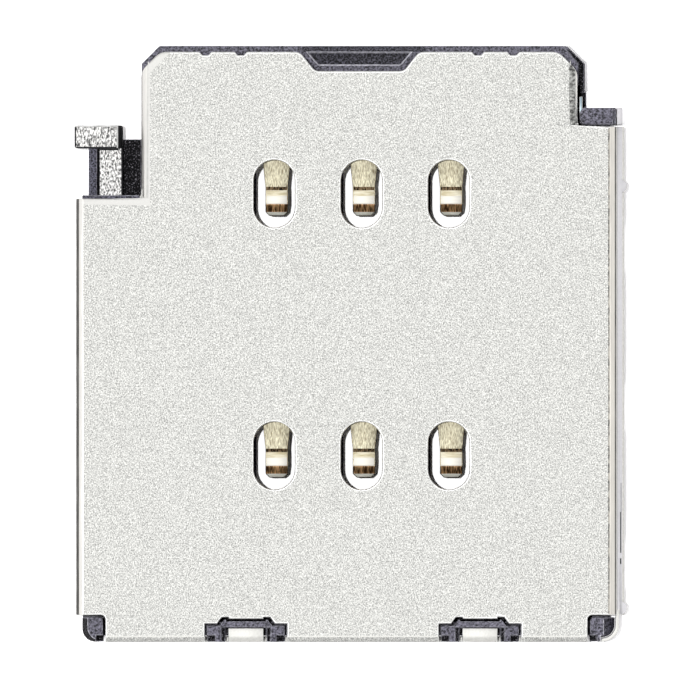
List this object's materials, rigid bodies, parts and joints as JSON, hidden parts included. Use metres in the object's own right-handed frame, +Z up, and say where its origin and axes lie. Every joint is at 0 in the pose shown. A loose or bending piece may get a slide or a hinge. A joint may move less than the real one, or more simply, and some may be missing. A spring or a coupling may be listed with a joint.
{
  "type": "sim card reader",
  "caption": "Low board-mounted reader for a small card tray: bent metal cover with contact windows, black base with spring contacts, push rod and lever that eject the tray.",
  "frame": {"origin": "on the board plane, under the middle of the contact grid", "axes": "+Z up from the board, +Y out of the card mouth, +X to the right when looking down with the mouth away"},
  "size_m": [0.0161, 0.0173, 0.0014],
  "materials": {
    "shell_steel": "fine blasted sheet metal",
    "base_plastic": "moulded black plastic",
    "contact_gold": "pale gold plated spring strip",
    "rod_steel": "coarse sheet steel",
    "lever_steel": "stamped steel",
    "spring_steel": "bright spring strip"
  },
  "bodies": {
    "housing": {"cover_shell": "shell_steel", "base_housing": "base_plastic", "contact_front_left": "contact_gold", "contact_front_middle": "contact_gold", "contact_front_right": "contact_gold", "contact_rear_left": "contact_gold", "contact_rear_middle": "contact_gold", "contact_rear_right": "contact_gold", "lever_pivot_pin": "lever_steel", "detect_spring": "spring_steel", "tray_spring": "spring_steel", "detect_terminal": "spring_steel"},
    "push_rod": {"eject_rod": "rod_steel"},
    "swing_lever": {"eject_lever": "lever_steel"}
  },
  "joints": [
    {"name": "rod_slide", "type": "slide", "parent": "housing", "child": "push_rod", "axis": [0, -1, 0], "range_m": [0, 0.0011]},
    {"name": "lever_swing", "type": "hinge", "parent": "housing", "child": "swing_lever", "pos_m": [-0.00472, -0.00805, 0.00057], "axis": [0, 0, 1], "range_deg": [0, 25.6]}
  ],
  "couplings": [
    {"joint": "lever_swing", "follows": "rod_slide", "rad_per_m": 404.1}
  ]
}
